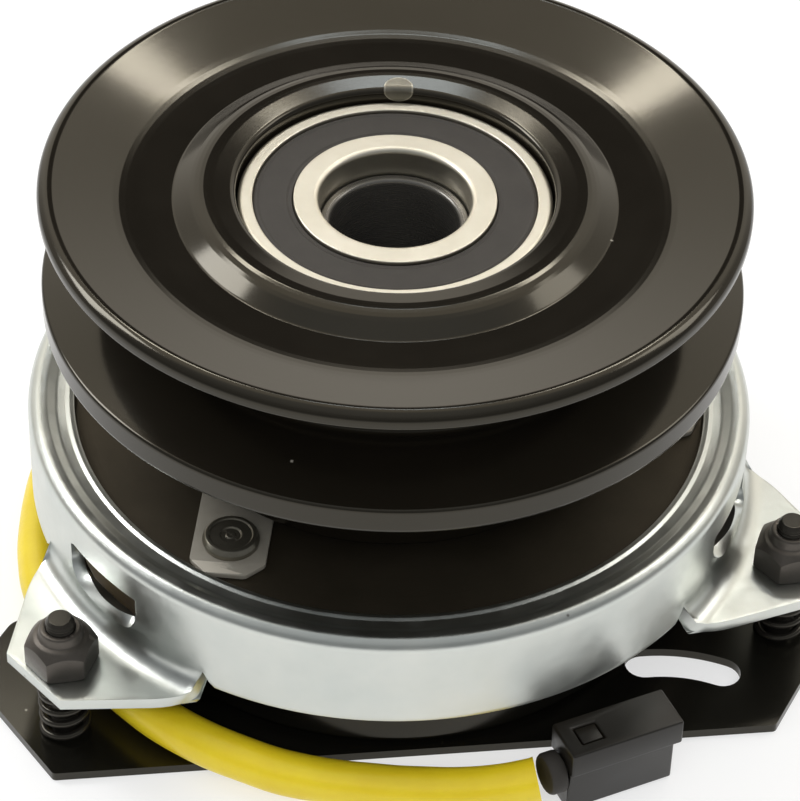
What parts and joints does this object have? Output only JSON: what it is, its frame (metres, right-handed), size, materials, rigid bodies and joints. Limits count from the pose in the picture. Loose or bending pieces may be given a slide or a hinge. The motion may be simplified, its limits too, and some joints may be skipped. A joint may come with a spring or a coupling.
{
  "type": "electromagnetic clutch",
  "caption": "Electric power-take-off clutch and brake: black V-belt pulley on a sealed bearing, spring-hung armature, plated brake cup on sprung studs, coil housing, mounting plate, lead.",
  "frame": {"origin": "on the crankshaft axis, level with the underside of the mounting plate", "axes": "+Z along the crankshaft axis from the mounting plate towards the pulley; -Y towards the lead's connector side"},
  "size_m": [0.1759, 0.1736, 0.0984],
  "materials": {
    "black_coat": "glossy black electro-coat",
    "zinc_plate": "bright zinc plate",
    "bearing_steel": "ground bearing steel",
    "dark_steel": "dark oiled steel",
    "spring_steel": "grey spring steel",
    "rivet_steel": "headed steel",
    "phosphate": "grey-brown phosphate",
    "black_oxide": "black oxide",
    "seal_rubber": "moulded rubber",
    "copper_wire": "enamelled copper",
    "friction_pad": "pressed friction lining",
    "black_plastic": "moulded black nylon",
    "yellow_sleeve": "yellow vinyl sleeve",
    "tinned_brass": "tinned"
  },
  "bodies": {
    "field": {"mounting_plate": "black_coat", "field_shell": "black_coat", "coil_bobbin": "black_plastic", "coil_winding": "copper_wire", "coil_potting": "black_plastic", "stud_1": "black_oxide", "stud_2": "black_oxide", "stud_3": "black_oxide", "brake_spring_1": "black_oxide", "brake_spring_2": "black_oxide", "brake_spring_3": "black_oxide", "field_bearing_outer_ring": "bearing_steel", "field_bearing_upper_seal": "seal_rubber", "field_bearing_lower_seal": "seal_rubber", "field_retaining_ring": "spring_steel", "lead_gland": "black_plastic", "lead": "yellow_sleeve", "connector_housing": "black_plastic", "connector_lock": "black_plastic", "connector_terminal_1": "tinned_brass", "connector_terminal_2": "tinned_brass", "connector_wire_seal": "seal_rubber"},
    "rotor": {"rotor": "dark_steel", "rotor_hub": "dark_steel", "friction_ring": "friction_pad", "hub_retaining_ring": "spring_steel", "field_bearing_inner_ring": "bearing_steel", "pulley_bearing_inner_ring": "bearing_steel"},
    "field_ball_set": {"field_bearing_balls": "bearing_steel"},
    "pulley": {"pulley_upper_half": "black_coat", "pulley_lower_half": "black_coat", "pulley_bearing_outer_ring": "bearing_steel", "pulley_bearing_upper_seal": "seal_rubber", "pulley_bearing_lower_seal": "seal_rubber", "leaf_spring_1": "spring_steel", "leaf_spring_2": "spring_steel", "leaf_spring_3": "spring_steel", "pulley_rivet_1": "rivet_steel", "pulley_rivet_2": "rivet_steel", "pulley_rivet_3": "rivet_steel"},
    "pulley_ball_set": {"pulley_bearing_balls": "bearing_steel"},
    "armature": {"armature": "dark_steel", "armature_rivet_1": "rivet_steel", "armature_rivet_2": "rivet_steel", "armature_rivet_3": "rivet_steel"},
    "brake_cup": {"brake_cup": "zinc_plate"},
    "lock_nut_1": {"lock_nut_1": "phosphate"},
    "lock_nut_2": {"lock_nut_2": "phosphate"},
    "lock_nut_3": {"lock_nut_3": "phosphate"}
  },
  "joints": [
    {"name": "rotor_spin", "type": "hinge", "parent": "field", "child": "rotor", "pos_m": [0, 0, 0.012], "axis": [0, 0, 1], "continuous": true},
    {"name": "field_balls_orbit", "type": "hinge", "parent": "field", "child": "field_ball_set", "pos_m": [0, 0, 0.012], "axis": [0, 0, 1], "continuous": true},
    {"name": "pulley_spin", "type": "hinge", "parent": "rotor", "child": "pulley", "pos_m": [0, 0, 0.085], "axis": [0, 0, 1], "continuous": true},
    {"name": "pulley_balls_orbit", "type": "hinge", "parent": "rotor", "child": "pulley_ball_set", "pos_m": [0, 0, 0.085], "axis": [0, 0, 1], "continuous": true},
    {"name": "armature_pull_in", "type": "slide", "parent": "pulley", "child": "armature", "axis": [0, 0, -1], "range_m": [0, 0.0004], "stiffness_N_per_m": 30000, "springref_m": -0.0005, "deforming": ["leaf_spring_1", "leaf_spring_2", "leaf_spring_3"]},
    {"name": "brake_cup_adjust", "type": "slide", "parent": "field", "child": "brake_cup", "axis": [0, 0, 1], "range_m": [-0.0003, 0.001], "deforming": ["brake_spring_1", "brake_spring_2", "brake_spring_3"]},
    {"name": "lock_nut_1_turn", "type": "hinge", "parent": "brake_cup", "child": "lock_nut_1", "pos_m": [-0.0629, -0.05865, 0.0265], "axis": [0, 0, 1], "range_deg": [-110, 362]},
    {"name": "lock_nut_2_turn", "type": "hinge", "parent": "brake_cup", "child": "lock_nut_2", "pos_m": [0.08224, -0.02514, 0.0265], "axis": [0, 0, 1], "range_deg": [-110, 362]},
    {"name": "lock_nut_3_turn", "type": "hinge", "parent": "brake_cup", "child": "lock_nut_3", "pos_m": [-0.01935, 0.0838, 0.0265], "axis": [0, 0, 1], "range_deg": [-110, 362]}
  ],
  "couplings": [
    {"joint": "field_balls_orbit", "follows": "rotor_spin", "ratio": 0.4181},
    {"joint": "pulley_balls_orbit", "follows": "pulley_spin", "ratio": 0.6035},
    {"joint": "lock_nut_1_turn", "follows": "brake_cup_adjust", "rad_per_m": 6283.2},
    {"joint": "lock_nut_2_turn", "follows": "brake_cup_adjust", "rad_per_m": 6283.2},
    {"joint": "lock_nut_3_turn", "follows": "brake_cup_adjust", "rad_per_m": 6283.2}
  ]
}
